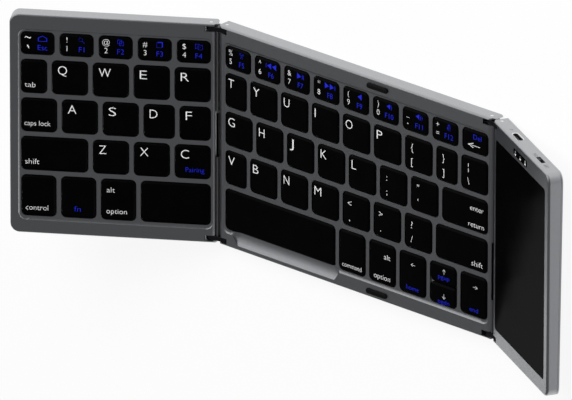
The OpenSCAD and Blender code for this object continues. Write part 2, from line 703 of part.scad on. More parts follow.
// Right wing
glass = [glass_nose_margin - pin_drop, front_y + glass_front,
         right_reach - glass_margin, rear_y - glass_rear];
window = [window_x - window_w / 2, rear_y - window_y - window_d / 2,
          window_x + window_w / 2, rear_y - window_y + window_d / 2];
socket_back = rear_y - socket_l;
switch_z = -socket_z;
switch_back = rear_y - wall - switch_body_d;
board_top = -socket_z - tongue_t / 2;
module socket_shape(y0, y1, grow)
    translate([0, y1, 0]) rotate([90, 0, 0]) linear_extrude(y1 - y0) {
        translate([socket_x - (socket_w - socket_h) / 2, -socket_z - socket_h / 2 - grow])
            square([socket_w - socket_h, socket_h + 2 * grow]);
        for (s = [-1, 1]) translate([socket_x + s * (socket_w - socket_h) / 2, -socket_z])
            circle(socket_h / 2 + grow);
    }
module switch_slot(y0, y1, w, h)
    block(switch_x - w / 2, switch_x + w / 2, y0, y1, switch_z - h / 2, switch_z + h / 2);
module right_top_case() at_right() color(case_grey) difference() {
    shell(-pin_drop, right_reach, true, false);
    cavity(-pin_drop, right_reach, true, false, battery_top);
    prism(inset(glass, -fit_gap), glass_r + fit_gap, pad_board_top, 1);
    prism(inset(glass, ledge), glass_r, battery_top - 1, 1);
    prism(inset(window, -fit_gap), window_r, -glass_t - glass_drop, 1);
    socket_shape(socket_back - eps, rear_y + 1, socket_fit);
    switch_slot(rear_y - wall - eps, rear_y + 1, switch_slot_w, switch_slot_h);
    hinge_slots(-pin_drop, right_reach, true, false);
    pins(0, pin_r);
    notch(-pin_drop, right_notch_y, right_notch_w);
    for (p = screw_places(-pin_drop, right_reach)) screw_hole(p);
}
module right_bottom_cover() at_right() color(case_grey) cover(-pin_drop, right_reach, true, false);
module touchpad_glass() at_right() color("#050505")
    prism(glass, glass_r, pad_board_top, -glass_drop);
module touchpad_board() at_right() color(board_green)
    prism(inset(glass, ledge + fit_gap), glass_r, battery_top, pad_board_top);
module battery() at_right() color("#b8bcc4") {
    x = (glass[0] + glass[2]) / 2;
    y = glass[1] + ledge + battery_inset;
    prism([x - battery_w / 2, y, x + battery_w / 2, y + battery_d], battery_r,
        battery_top - battery_t, battery_top);
}
// The socket is let into a cut-out of the board, and the switch sits against its edge
module main_board() at_right() color(board_green) difference() {
    block(block_x - pin_drop + fit_gap, right_reach - block_x - fit_gap, switch_back - board_d,
        switch_back, board_top - board_t, board_top);
    block(socket_x - socket_w / 2 - socket_fit, socket_x + socket_w / 2 + socket_fit,
        socket_back - socket_fit, rear_y, -rear_t, 0);
}
module charging_socket() at_right() color(steel) difference() {
    socket_shape(socket_back, rear_y, 0);
    difference() {
        socket_shape(socket_back + socket_back_t, rear_y + 1, -socket_wall);
        block(socket_x - tongue_w / 2, socket_x + tongue_w / 2, socket_back,
            rear_y - tongue_sink, -socket_z - tongue_t / 2, -socket_z + tongue_t / 2);
    }
}
module indicator_window() at_right() color("#0a0a0c")
    prism(window, window_r, -glass_t - glass_drop, -glass_drop);
module power_switch() at_right() color("#2a2a2c") difference() {
    switch_slot(switch_back, rear_y - wall, switch_slot_w + 2 * switch_frame,
        switch_slot_h + 2 * switch_frame);
    switch_slot(rear_y - wall - knob_foot - fit_gap, rear_y, switch_slot_w, switch_slot_h);
}
module power_switch_knob() at_right() color("#8a8c90")
    translate([-(switch_slot_w - knob_w) / 2 + fit_gap, 0, 0]) difference() {
        switch_slot(rear_y - wall - knob_foot, rear_y - knob_sink, knob_w,
            switch_slot_h - 2 * fit_gap);
        for (s = [-1, 0, 1])
            translate([s * groove_pitch + switch_x, rear_y - knob_sink, switch_z])
                cube([groove_w, 2 * groove_w, switch_slot_h], center = true);
    }
module right_hinge_pins() at_right() color(steel) pins(0, pin_r);
module right_screws() at_right() screws(-pin_drop, right_reach);
module right_feet() at_right() feet([right_reach - foot_x]);

// Hinges
module left_hinge_links() at_link(-1, left_fold_angle) color("#2c2d30") mirror([1, 0, 0]) links();
module left_hinge_spine() at_link(-1, left_fold_angle) color(rubber_black) mirror([1, 0, 0]) spine();
module right_hinge_links() at_link(1, right_fold_angle) color("#2c2d30") links();
module right_hinge_spine() at_link(1, right_fold_angle) color(rubber_black) spine();

// Keys of the left wing
module left_number_keys() left_caps(0, 0, 4);
module left_top_letter_keys() left_caps(1, 1, 4);
module left_home_letter_keys() left_caps(2, 1, 4);
module left_bottom_letter_keys() left_caps(3, 1, 3);
module tab_key() left_caps(1, 0, 0);
module caps_lock_key() left_caps(2, 0, 0);
module left_shift_key() left_caps(3, 0, 0);
module control_key() left_caps(4, 0, 0);
module function_key() left_caps(4, 1, 1);
module left_alt_key() left_caps(4, 2, 2);
module left_space_bar() left_caps(4, 3, 3);

// Keys of the centre panel
module centre_number_keys() centre_caps(0, 0, 7);
module backspace_key() centre_caps(0, 8, 8);
module centre_top_letter_keys() centre_caps(1, 0, 5);
module bracket_keys() centre_caps(1, 6, 8);
module centre_home_keys() centre_caps(2, 0, 6);
module enter_key() centre_caps(2, 7, 7);
module centre_bottom_keys() centre_caps(3, 0, 6);
module right_shift_key() centre_caps(3, 7, 7);
module right_space_bar() centre_caps(4, 0, 0);
module meta_key() centre_caps(4, 1, 1);
module right_alt_key() centre_caps(4, 2, 2);
module arrow_left_key() centre_caps(4, 3, 3);
module arrow_up_key() at_centre() cap(arrow_cell(true));
module arrow_down_key() at_centre() cap(arrow_cell(false));
module arrow_right_key() centre_caps(4, 5, 5);

centre_top_case();
centre_bottom_cover();
centre_support_plate();
centre_key_membrane();
centre_rubber_domes();
centre_hinge_pins();
centre_screws();
centre_feet();
seam_bumpers();
left_top_case();
left_bottom_cover();
left_support_plate();
left_key_membrane();
left_rubber_domes();
left_hinge_pins();
left_screws();
left_feet();
right_top_case();
right_bottom_cover();
touchpad_glass();
touchpad_board();
main_board();
battery();
charging_socket();
indicator_window();
power_switch();
power_switch_knob();
right_hinge_pins();
right_screws();
right_feet();
left_hinge_links();
left_hinge_spine();
right_hinge_links();
right_hinge_spine();
left_number_keys();
left_top_letter_keys();
left_home_letter_keys();
left_bottom_letter_keys();
tab_key();
caps_lock_key();
left_shift_key();
control_key();
function_key();
left_alt_key();
left_space_bar();
centre_number_keys();
backspace_key();
centre_top_letter_keys();
bracket_keys();
centre_home_keys();
enter_key();
centre_bottom_keys();
right_shift_key();
right_space_bar();
meta_key();
right_alt_key();
arrow_left_key();
arrow_up_key();
arrow_down_key();
arrow_right_key();
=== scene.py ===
"""Folding keyboard: a centre panel, a left key wing and a right touchpad wing, half open."""
import json
import math

import bmesh
import bpy
from mathutils import Matrix, Vector

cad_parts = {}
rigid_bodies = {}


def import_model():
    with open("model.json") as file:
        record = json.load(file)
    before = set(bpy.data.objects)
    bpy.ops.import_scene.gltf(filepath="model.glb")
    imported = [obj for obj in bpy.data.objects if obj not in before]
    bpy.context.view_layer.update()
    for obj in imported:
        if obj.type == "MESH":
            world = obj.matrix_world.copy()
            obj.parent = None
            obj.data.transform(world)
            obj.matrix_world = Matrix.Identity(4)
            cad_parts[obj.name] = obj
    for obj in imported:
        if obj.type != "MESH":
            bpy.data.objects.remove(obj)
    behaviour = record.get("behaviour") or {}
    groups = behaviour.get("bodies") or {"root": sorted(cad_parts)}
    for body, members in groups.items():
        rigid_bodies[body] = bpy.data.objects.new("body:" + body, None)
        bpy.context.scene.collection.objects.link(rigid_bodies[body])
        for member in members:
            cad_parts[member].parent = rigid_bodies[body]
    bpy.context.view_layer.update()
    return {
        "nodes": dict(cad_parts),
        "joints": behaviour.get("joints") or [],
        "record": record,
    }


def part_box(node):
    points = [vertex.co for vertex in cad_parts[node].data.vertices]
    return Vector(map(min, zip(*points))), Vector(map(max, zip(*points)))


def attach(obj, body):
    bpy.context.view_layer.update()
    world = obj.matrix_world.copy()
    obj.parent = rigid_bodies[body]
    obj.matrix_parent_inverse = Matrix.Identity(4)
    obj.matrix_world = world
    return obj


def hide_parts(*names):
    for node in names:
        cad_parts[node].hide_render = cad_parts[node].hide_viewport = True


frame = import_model()

MM = 0.001
NODES = frame["nodes"]
JOINTS = {joint["name"]: joint for joint in frame["joints"]}

# Panels: each one is modelled lying flat, with its rim plane at z = 0 and its pin line along y,
# and is then placed at the angle that its hinge has at rest
RIM_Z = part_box("centre_top_case")[1].z
PIN_DROP = RIM_Z - JOINTS["left_link_hinge"]["pos_m"][2]
CENTRE_X = sum(corner.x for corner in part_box("centre_top_case")) / 2
REAR_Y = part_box("centre_top_case")[1].y


def fold_of(side):
    return math.radians(-2 * JOINTS[f"{side}_wing_hinge"]["range_deg"][0])


def wing_place(side):
    turn = fold_of(side) * (1 if side == "left" else -1)
    pin = Matrix.Translation(Vector(JOINTS[f"{side}_wing_hinge"]["pos_m"]))
    return pin @ Matrix.Rotation(turn, 4, "Y") @ Matrix.Translation((0, 0, PIN_DROP))


CENTRE = Matrix.Translation((CENTRE_X, 0, RIM_Z))
LEFT = wing_place("left")
RIGHT = wing_place("right")


# ---------------------------------------------------------------- camera and studio
# The photograph's view, as the direction from the keyboard to the camera, and its long lens
VIEW_AZIMUTH = math.radians(122.14)
VIEW_ELEVATION = math.radians(43.48)
VIEW_DISTANCE = 7.182
VIEW_TILT = math.radians(-0.2)
LENS_MM, SENSOR_MM = 1100.0, 36.0
CLIP_FACTOR = 10
# Middle of the photograph, from the middle of the centre panel, along the picture's two sides
PICTURE_RIGHT, PICTURE_UP = -27.75 * MM, -7.43 * MM
LAMP_DISTANCE = 1.6
FLOOR_SIZE = 40
PAPER_WHITE = (0.86, 0.86, 0.86)
# How much of the paper is replaced by plain white where it is seen or mirrored
WHITE_SHARE = 0.9
DIM_WALL, PALE_WALL, CEILING = (0.12, 0.12, 0.125), (0.42, 0.42, 0.43), (0.125, 0.125, 0.13)
# Where the walls turn into the ceiling, as the height of the direction in which one looks
WALL_TOP, CEILING_START = 0.1, 0.5


def add_camera():
    back = Vector((math.sin(VIEW_AZIMUTH) * math.cos(VIEW_ELEVATION),
                   -math.cos(VIEW_AZIMUTH) * math.cos(VIEW_ELEVATION),
                   math.sin(VIEW_ELEVATION)))
    level = Vector((math.cos(VIEW_AZIMUTH), math.sin(VIEW_AZIMUTH), 0))
    above = back.cross(level)
    roll = math.atan2(level.y, above.y) + VIEW_TILT
    right = level * math.cos(roll) - above * math.sin(roll)
    up = level * math.sin(roll) + above * math.cos(roll)
    middle = Vector((CENTRE_X, 0, RIM_Z))
    place = middle + back * VIEW_DISTANCE
    aim = (place - middle - right * PICTURE_RIGHT - up * PICTURE_UP).normalized()
    side = up.cross(aim).normalized()
    turn = Matrix((side, aim.cross(side), aim)).transposed().to_4x4()

    bpy.ops.object.camera_add()
    camera = bpy.context.object
    camera.matrix_world = Matrix.Translation(place) @ turn
    camera.data.lens = LENS_MM
    camera.data.sensor_width = SENSOR_MM
    camera.data.clip_start = VIEW_DISTANCE / CLIP_FACTOR
    camera.data.clip_end = VIEW_DISTANCE * CLIP_FACTOR
    bpy.context.scene.camera = camera


def softbox(azimuth, elevation, size, watts, mirrored=True):
    """A square soft light, seen from the keyboard at these angles, that faces it."""
    a, e = math.radians(azimuth), math.radians(elevation)
    direction = Vector((math.sin(a) * math.cos(e), -math.cos(a) * math.cos(e), math.sin(e)))
    bpy.ops.object.light_add(type="AREA", location=direction * LAMP_DISTANCE)
    lamp = bpy.context.object
    lamp.rotation_mode = "QUATERNION"
    lamp.rotation_quaternion = direction.to_track_quat("Z", "Y")
    lamp.data.size = size
    lamp.data.energy = watts
    lamp.visible_glossy = mirrored


def color_mix(nodes):
    """A colour mix node with its two colour inputs and its colour output."""
    mix = nodes.new("ShaderNodeMix")
    mix.data_type = "RGBA"
    inputs = [socket for socket in mix.inputs if socket.type == "RGBA"]
    return mix, inputs, next(socket for socket in mix.outputs if socket.type == "RGBA")


def studio_world():
    """A studio with a pale wall on the right and dim other walls and ceiling."""
    world = bpy.data.worlds.new("studio")
    bpy.context.scene.world = world
    world.use_nodes = True
    nodes, links = world.node_tree.nodes, world.node_tree.links
    direction = nodes.new("ShaderNodeTexCoord")
    height = nodes.new("ShaderNodeSeparateXYZ")
    wall = nodes.new("ShaderNodeValToRGB")
    wall.color_ramp.elements[0].position = 0.0
    wall.color_ramp.elements[0].color = (*DIM_WALL, 1)
    wall.color_ramp.elements[1].position = 0.7
    wall.color_ramp.elements[1].color = (*PALE_WALL, 1)
    rise = nodes.new("ShaderNodeMapRange")
    rise.inputs["From Min"].default_value = WALL_TOP
    rise.inputs["From Max"].default_value = CEILING_START
    ceiling, colors, mixed = color_mix(nodes)
    colors[1].default_value = (*CEILING, 1)
    links.new(direction.outputs["Generated"], height.inputs[0])
    links.new(height.outputs["X"], wall.inputs["Fac"])
    links.new(height.outputs["Z"], rise.inputs["Value"])
    links.new(rise.outputs["Result"], ceiling.inputs["Factor"])
    links.new(wall.outputs["Color"], colors[0])
    links.new(mixed, nodes["Background"].inputs["Color"])


def floor_finish():
    """Pale paper that keeps a soft shadow, and is lifted to white wherever it is seen, mirrored
    or seen through glass."""
    finish = bpy.data.materials.new("paper_floor")
    finish.use_nodes = True
    nodes, links = finish.node_tree.nodes, finish.node_tree.links
    nodes.clear()
    paper = nodes.new("ShaderNodeBsdfDiffuse")
    paper.inputs["Color"].default_value = (*PAPER_WHITE, 1)
    white = nodes.new("ShaderNodeEmission")
    mix = nodes.new("ShaderNodeMixShader")
    path = nodes.new("ShaderNodeLightPath")
    mirrored, seen, share = (nodes.new("ShaderNodeMath") for _ in range(3))
    mirrored.operation = seen.operation = "MAXIMUM"
    share.operation = "MULTIPLY"
    share.inputs[1].default_value = WHITE_SHARE
    output = nodes.new("ShaderNodeOutputMaterial")
    links.new(path.outputs["Is Glossy Ray"], mirrored.inputs[0])
    links.new(path.outputs["Is Transmission Ray"], mirrored.inputs[1])
    links.new(path.outputs["Is Camera Ray"], seen.inputs[0])
    links.new(mirrored.outputs[0], seen.inputs[1])
    links.new(seen.outputs[0], share.inputs[0])
    links.new(share.outputs[0], mix.inputs["Fac"])
    links.new(paper.outputs[0], mix.inputs[1])
    links.new(white.outputs[0], mix.inputs[2])
    links.new(mix.outputs[0], output.inputs["Surface"])
    return finish


def add_studio():
    bpy.context.scene.view_settings.view_transform = "Standard"
    studio_world()
    softbox(azimuth=175, elevation=48, size=0.9, watts=26, mirrored=False)
    softbox(azimuth=225, elevation=30, size=2.4, watts=13)
    bpy.ops.mesh.primitive_plane_add(size=FLOOR_SIZE)
    floor = bpy.context.object
    floor.name = "floor"
    floor.data.materials.append(floor_finish())


# ---------------------------------------------------------------- finishes
def new_finish(name, color, roughness, metallic=0.0, specular=0.5, coat=0.0):
    """A Principled material; its fixed values sit on the shader's own sockets."""
    finish = bpy.data.materials.new(name)
    finish.use_nodes = True
    shader = finish.node_tree.nodes["Principled BSDF"]
    shader.inputs["Base Color"].default_value = (*color, 1)
    shader.inputs["Roughness"].default_value = roughness
    shader.inputs["Metallic"].default_value = metallic
    shader.inputs["Specular IOR Level"].default_value = specular
    shader.inputs["Coat Weight"].default_value = coat
    return finish


def noise(finish, scale, detail=2.0):
    """Noise over the piece's own Object coordinates; scale is in waves per metre."""
    nodes, links = finish.node_tree.nodes, finish.node_tree.links
    place = nodes.get("Texture Coordinate") or nodes.new("ShaderNodeTexCoord")
    grain = nodes.new("ShaderNodeTexNoise")
    grain.inputs["Scale"].default_value = scale
    grain.inputs["Detail"].default_value = detail
    links.new(place.outputs["Object"], grain.inputs["Vector"])
    return grain.outputs["Fac"]


def vary_color(finish, source, dark, light):
    """Moves the base colour between two colours with a 0 to 1 pattern."""
    nodes, links = finish.node_tree.nodes, finish.node_tree.links
    ramp = nodes.new("ShaderNodeValToRGB")
    ramp.color_ramp.elements[0].position = 0.3
    ramp.color_ramp.elements[0].color = (*dark, 1)
    ramp.color_ramp.elements[1].position = 0.7
    ramp.color_ramp.elements[1].color = (*light, 1)
    links.new(source, ramp.inputs["Fac"])
    links.new(ramp.outputs["Color"], nodes["Principled BSDF"].inputs["Base Color"])


def vary_roughness(finish, source, low, high):
    nodes, links = finish.node_tree.nodes, finish.node_tree.links
    spread = nodes.new("ShaderNodeMapRange")
    spread.inputs["From Min"].default_value = 0.3
    spread.inputs["From Max"].default_value = 0.7
    spread.inputs["To Min"].default_value = low
    spread.inputs["To Max"].default_value = high
    links.new(source, spread.inputs["Value"])
    links.new(spread.outputs["Result"], nodes["Principled BSDF"].inputs["Roughness"])


def bump(finish, source, depth):
    """Relief of that depth in metres from a 0 to 1 pattern."""
    nodes, links = finish.node_tree.nodes, finish.node_tree.links
    relief = nodes.new("ShaderNodeBump")
    relief.inputs["Strength"].default_value = 1.0
    relief.inputs["Distance"].default_value = depth
    links.new(source, relief.inputs["Height"])
    links.new(relief.outputs["Normal"], nodes["Principled BSDF"].inputs["Normal"])


def anodised_aluminium():
    finish = new_finish("anodised_aluminium", (0.46, 0.47, 0.485), 0.35, metallic=1.0)
    grain = noise(finish, 2600, 3)
    vary_color(finish, grain, (0.445, 0.455, 0.47), (0.475, 0.485, 0.5))
    vary_roughness(finish, noise(finish, 900), 0.33, 0.39)
    bump(finish, grain, 0.02 * MM)
    return finish


def keycap_plastic():
    finish = new_finish("keycap_plastic", (0.0008, 0.0008, 0.0009), 0.4, specular=0.05)
    grain = noise(finish, 5200)
    vary_color(finish, noise(finish, 120), (0.0006, 0.0006, 0.0007), (0.001, 0.001, 0.0011))
    vary_roughness(finish, noise(finish, 700), 0.36, 0.44)
    bump(finish, grain, 0.006 * MM)
    return finish


def legend_paint(name, color):
    finish = new_finish(name, color, 0.5, specular=0.3)
    shade = noise(finish, 3000)
    vary_color(finish, shade, tuple(0.94 * c for c in color), color)
    return finish


def soft_rubber():
    finish = new_finish("soft_rubber", (0.004, 0.004, 0.0045), 0.7, specular=0.15)
    grain = noise(finish, 3500)
    vary_color(finish, grain, (0.003, 0.003, 0.0035), (0.006, 0.006, 0.0065))
    bump(finish, grain, 0.02 * MM)
    return finish


def dark_metal():
    finish = new_finish("dark_metal", (0.05, 0.05, 0.055), 0.35, metallic=1.0)
    vary_roughness(finish, noise(finish, 1500), 0.28, 0.45)
    return finish


def hinge_cover(name, front, rear):
    """Grey metal, black between two places along the hinge: the cable's sleeve and painted notch
    shade.
    """
    grey, black = (0.3, 0.3, 0.31), (0.003, 0.003, 0.003)
    finish = new_finish(name, grey, 0.4, metallic=1.0)
    nodes, links = finish.node_tree.nodes, finish.node_tree.links
    place = nodes.new("ShaderNodeTexCoord")
    along = nodes.new("ShaderNodeSeparateXYZ")
    sleeve_and_shade = nodes.new("ShaderNodeMath")
    sleeve_and_shade.operation = "COMPARE"
    sleeve_and_shade.inputs[1].default_value = (front + rear) / 2
    sleeve_and_shade.inputs[2].default_value = (rear - front) / 2
    links.new(place.outputs["Object"], along.inputs[0])
    links.new(along.outputs["Y"], sleeve_and_shade.inputs[0])
    # The black band is partly the cable's sleeve and partly painted shade of the cable notch
    vary_color(finish, sleeve_and_shade.outputs[0], grey, black)
    return finish


def bright_steel():
    finish = new_finish("bright_steel", (0.8, 0.8, 0.81), 0.3, metallic=1.0)
    vary_roughness(finish, noise(finish, 1800), 0.22, 0.38)
    return finish


def black_glass():
    finish = new_finish("black_glass", (0.0012, 0.0012, 0.0014), 0.12, specular=0.004)
    vary_roughness(finish, noise(finish, 60), 0.1, 0.16)
    return finish


def moulded_plastic(name, color):
    finish = new_finish(name, color, 0.5, specular=0.4)
    grain = noise(finish, 4000)
    vary_color(finish, grain, tuple(0.9 * c for c in color), tuple(1.1 * c for c in color))
    bump(finish, grain, 0.01 * MM)
    return finish


def circuit_board():
    finish = new_finish("circuit_board", (0.01, 0.06, 0.03), 0.4, specular=0.5, coat=0.3)
    vary_color(finish, noise(finish, 500), (0.008, 0.05, 0.025), (0.014, 0.075, 0.038))
    return finish


def foil():
    finish = new_finish("foil", (0.55, 0.56, 0.58), 0.4, metallic=1.0)
    creases = noise(finish, 350, 4)
    vary_roughness(finish, creases, 0.35, 0.5)
    bump(finish, creases, 0.05 * MM)
    return finish


CASE = anodised_aluminium()
KEYCAP = keycap_plastic()
WHITE_PAINT = legend_paint("white_legend", (0.86, 0.86, 0.86))
BLUE_PAINT = legend_paint("blue_legend", (0.012, 0.02, 0.6))
GREY_PAINT = legend_paint("grey_legend", (0.12, 0.12, 0.125))
SILVER_PAINT = legend_paint("silver_legend", (0.4, 0.4, 0.41))
RUBBER = soft_rubber()
HINGE_METAL = dark_metal()
STEEL = bright_steel()
GLASS = black_glass()
BLACK_PLASTIC = moulded_plastic("black_plastic", (0.008, 0.008, 0.009))
GREY_PLASTIC = moulded_plastic("grey_plastic", (0.035, 0.035, 0.037))
SILICONE = moulded_plastic("silicone", (0.5, 0.48, 0.44))
FILM = moulded_plastic("printed_film", (0.6, 0.62, 0.58))
BOARD = circuit_board()
BATTERY_FOIL = foil()

# The front and the rear end, along y, of the black band on each hinge: sleeve and painted shade
SLEEVE_AND_SHADE_ENDS = {"left": (-10.2 * MM, 9.6 * MM), "right": (-31 * MM, -5.6 * MM)}
HINGE_COVERS = {side: hinge_cover(f"{side}_hinge_cover", *ends)
                for side, ends in SLEEVE_AND_SHADE_ENDS.items()}

SLOT_FINISHES = {
    "case": CASE, "keycap": KEYCAP, "pressed_steel": STEEL, "pin_steel": STEEL,
    "hinge_metal": HINGE_METAL, "hinge_plastic": BLACK_PLASTIC, "rubber": RUBBER,
    "silicone": SILICONE, "film": FILM, "touch_glass": GLASS, "window_plastic": GLASS,
    "circuit_board": BOARD, "battery_foil": BATTERY_FOIL, "knob_plastic": GREY_PLASTIC,
}
BODY_OF = {node: body for body, nodes in frame["record"]["behaviour"]["bodies"].items()
           for node in nodes}
SLOT_OF = {part["node"]: part["material_slot"] for part in frame["record"]["subparts"]}


# ---------------------------------------------------------------- modelling helpers
# Rounding of a box's ends, as a share of its height: just short of a half, where the arcs meet
END_SHARE = 0.499
# Least share of an edge's length, or of a face's normal, that lies along the axis asked for
ALONG = 0.9
# Corners closer than this, in metres, are one corner
MESH_MERGE, INK_MERGE = 1e-6, 1e-7


def take(piece):
    """Selects one piece, alone, and makes it the active one."""
    bpy.ops.object.select_all(action="DESELECT")
    piece.select_set(True)
    bpy.context.view_layer.objects.active = piece


def edit(piece):
    """Opens one piece in edit mode with nothing selected."""
    take(piece)
    bpy.ops.object.mode_set(mode="EDIT")
    bpy.ops.mesh.select_all(action="DESELECT")


def done():
    bpy.ops.object.mode_set(mode="OBJECT")


def primitive(add, **options):
    """Adds a primitive, puts its place and size in its mesh and opens it in edit mode."""
    bpy.ops.object.select_all(action="DESELECT")
    add(**options)
    bpy.ops.object.transform_apply(location=True, rotation=True, scale=True)
    piece = bpy.context.object
    edit(piece)
    return piece


def pick(piece, kind, test):
    """Selects the corners, edges or faces of the open piece that pass the test."""
    kinds = ("VERT", "EDGE", "FACE")
    bpy.ops.mesh.select_all(action="DESELECT")
    bpy.context.tool_settings.mesh_select_mode = [kind == k for k in kinds]
    mesh = bmesh.from_edit_mesh(piece.data)
    items = (mesh.verts, mesh.edges, mesh.faces)[kinds.index(kind)]
    for item in [i for i in items if test(i)]:
        item.select_set(True)
    bmesh.update_edit_mesh(piece.data)


def is_upright(edge):
    low, high = (v.co for v in edge.verts)
    return abs(high.z - low.z) > ALONG * (high - low).length


def faces_up(face):
    return face.normal.z > ALONG


def faces_down(face):
    return face.normal.z < -ALONG


def finish_piece(piece, name, finish, body, place=None, smooth=35, replaces=()):
    """Names a piece, puts it in place, gives it its finish and hangs it on its body."""
    if bpy.context.mode != "OBJECT":
        done()
    piece.name = name
    if place is not None:
        piece.data.transform(place)
    if smooth:
        take(piece)
        bpy.ops.object.shade_smooth_by_angle(angle=math.radians(smooth))
    piece.data.materials.clear()
    piece.data.materials.append(finish)
    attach(piece, body)
    if replaces:
        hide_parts(*replaces)
    return piece


def join(pieces):
    """Makes one piece of several."""
    bpy.ops.object.select_all(action="DESELECT")
    for piece in pieces:
        piece.select_set(True)
    bpy.context.view_layer.objects.active = pieces[0]
    if len(pieces) > 1:
        bpy.ops.object.join()
    return bpy.context.object


def linked(name, mesh):
    """A new object in the scene that shows this mesh."""
    piece = bpy.data.objects.new(name, mesh)
    bpy.context.scene.collection.objects.link(piece)
    return piece


def merged_copy(node):
    """A copy of a CAD node's mesh with its loose triangles joined."""
    copy = linked(node, NODES[node].data.copy())
    edit(copy)
    bpy.ops.mesh.select_all(action="SELECT")
    bpy.ops.mesh.remove_doubles(threshold=MESH_MERGE)
    return copy


def panel_place(node):
    """Where the panel that carries a node lies, told by the node's place between the hinges."""
    x = sum(corner.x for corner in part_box(node)) / 2
    if x < JOINTS["left_wing_hinge"]["pos_m"][0]:
        return LEFT
    return RIGHT if x > JOINTS["right_wing_hinge"]["pos_m"][0] else CENTRE


def solids_of(node, place):
    """Boxes of a node's separate solids in its panel's own frame, from left to right."""
    before = set(bpy.data.objects)
    merged_copy(node)
    bpy.ops.mesh.separate(type="LOOSE")
    done()
    boxes = []
    for part in set(bpy.data.objects) - before:
        part.data.transform(place.inverted())
        corners = [v.co for v in part.data.vertices]
        boxes.append([Vector([extreme(c[i] for c in corners) for i in range(3)])
                      for extreme in (min, max)])
        bpy.data.objects.remove(part)
    return sorted(boxes, key=lambda box: (round(box[0].x, 5), box[0].y))


def apply_modifier(piece, kind, **settings):
    take(piece)
    modifier = piece.modifiers.new(kind.lower(), kind)
    for key, value in settings.items():
        setattr(modifier, key, value)
    bpy.ops.object.modifier_apply(modifier=modifier.name)


# ---------------------------------------------------------------- cases and hardware
# Rounding of the edges, in mm
CASE_EDGE, COVER_EDGE, PIN_EDGE, FOOT_EDGE = 0.22, 0.2, 0.15, 0.45
LINK_EDGE, SPINE_EDGE, GLASS_EDGE, WINDOW_EDGE = 0.2, 0.3, 0.12, 0.08
SWITCH_EDGE, KNOB_EDGE = 0.06, 0.08
BUMPER_DOME = 0.65 * MM
SCREW_HEAD = 0.5 * MM
SCREW_CHAMFER = 0.15 * MM
# The star socket: metal left round it, its points, the share that its waist draws in, its depth
SCREW_RIM = 0.45 * MM
STAR_POINTS, STAR_WAIST = 6, 0.16
STAR_DEPTH, STAR_TAPER = 0.25 * MM, 0.03 * MM


def soften(node, width, finish=None, segments=2):
    """A CAD solid with its flat faces joined up and its sharp edges rounded."""
    shell = merged_copy(node)
    bpy.ops.mesh.dissolve_limited(angle_limit=math.radians(1))
    done()
    apply_modifier(shell, "BEVEL", width=width * MM, segments=segments, limit_method="ANGLE",
                   angle_limit=math.radians(40), use_clamp_overlap=True, harden_normals=False)
    finish_piece(shell, node + "_soft", finish or SLOT_FINISHES[SLOT_OF[node]],
                 BODY_OF[node], smooth=40, replaces=[node])
    apply_modifier(shell, "WEIGHTED_NORMAL", keep_sharp=True)


def add_cases():
    for side in ("centre", "left", "right"):
        soften(f"{side}_top_case", CASE_EDGE)
        soften(f"{side}_bottom_cover", COVER_EDGE)
        soften(f"{side}_hinge_pins", PIN_EDGE)
        soften(f"{side}_feet", FOOT_EDGE, segments=3)
    for side in ("left", "right"):
        soften(f"{side}_hinge_links", LINK_EDGE)
        soften(f"{side}_hinge_spine", SPINE_EDGE, HINGE_COVERS[side])
    soften("touchpad_glass", GLASS_EDGE)
    soften("indicator_window", WINDOW_EDGE)


def add_bumpers():
    """Two oval rubber bumpers with domed tops, on which the closed wings rest."""
    bumpers = []
    for low, high in solids_of("seam_bumpers", CENTRE):
        size = high - low
        bumper = primitive(bpy.ops.mesh.primitive_cube_add, size=1, location=(low + high) / 2,
                           scale=size)
        pick(bumper, "EDGE", is_upright)
        bpy.ops.mesh.bevel(offset=END_SHARE * size.y, segments=10, affect="EDGES")
        pick(bumper, "FACE", faces_up)
        bpy.ops.mesh.bevel(offset=BUMPER_DOME, segments=5, affect="EDGES")
        done()
        bumpers.append(bumper)
    finish_piece(join(bumpers), "seam_bumper_domes", RUBBER, BODY_OF["seam_bumpers"],
                 CENTRE, replaces=["seam_bumpers"])


def add_screws(side):
    """Flat screws with a chamfered head, a star-shaped socket and a shank half as wide."""
    node = f"{side}_screws"
    place = panel_place(node)
    screws = []
    for low, high in solids_of(node, place):
        across = high.x - low.x
        x, y = (low.x + high.x) / 2, (low.y + high.y) / 2
        screw = primitive(bpy.ops.mesh.primitive_cylinder_add, vertices=24, radius=across / 2,
                          depth=SCREW_HEAD, location=(x, y, low.z + SCREW_HEAD / 2))
        pick(screw, "FACE", faces_down)
        bpy.ops.mesh.bevel(offset=SCREW_CHAMFER, segments=2, affect="EDGES")
        pick(screw, "FACE", faces_down)
        bpy.ops.mesh.inset(thickness=SCREW_RIM)
        rim = [v for v in bmesh.from_edit_mesh(screw.data).verts if v.select]
        for point in rim:
            turn = math.atan2(point.co.y - y, point.co.x - x)
            pull = 1 - STAR_WAIST * (1 - math.cos(STAR_POINTS * turn))
            point.co.x = x + (point.co.x - x) * pull
            point.co.y = y + (point.co.y - y) * pull
        bpy.ops.mesh.inset(thickness=STAR_TAPER, depth=-STAR_DEPTH)
        pick(screw, "FACE", faces_up)
        bpy.ops.mesh.inset(thickness=across / 4)
        bpy.ops.mesh.extrude_region_move(
            TRANSFORM_OT_translate={"value": (0, 0, high.z - low.z - SCREW_HEAD)})
        done()
        screws.append(screw)
    finish_piece(join(screws), f"{node}_heads", STEEL, BODY_OF[node], place,
                 replaces=[node])


# ---------------------------------------------------------------- keycaps
CAP_DEPTH = 1.5 * MM
CAP_CORNER = 1.95 * MM
CAP_GAP = 0.35 * MM
SKIRT = 0.9 * MM
SKIRT_DEPTH, SKIRT_TAPER = 0.7 * MM, 0.05 * MM
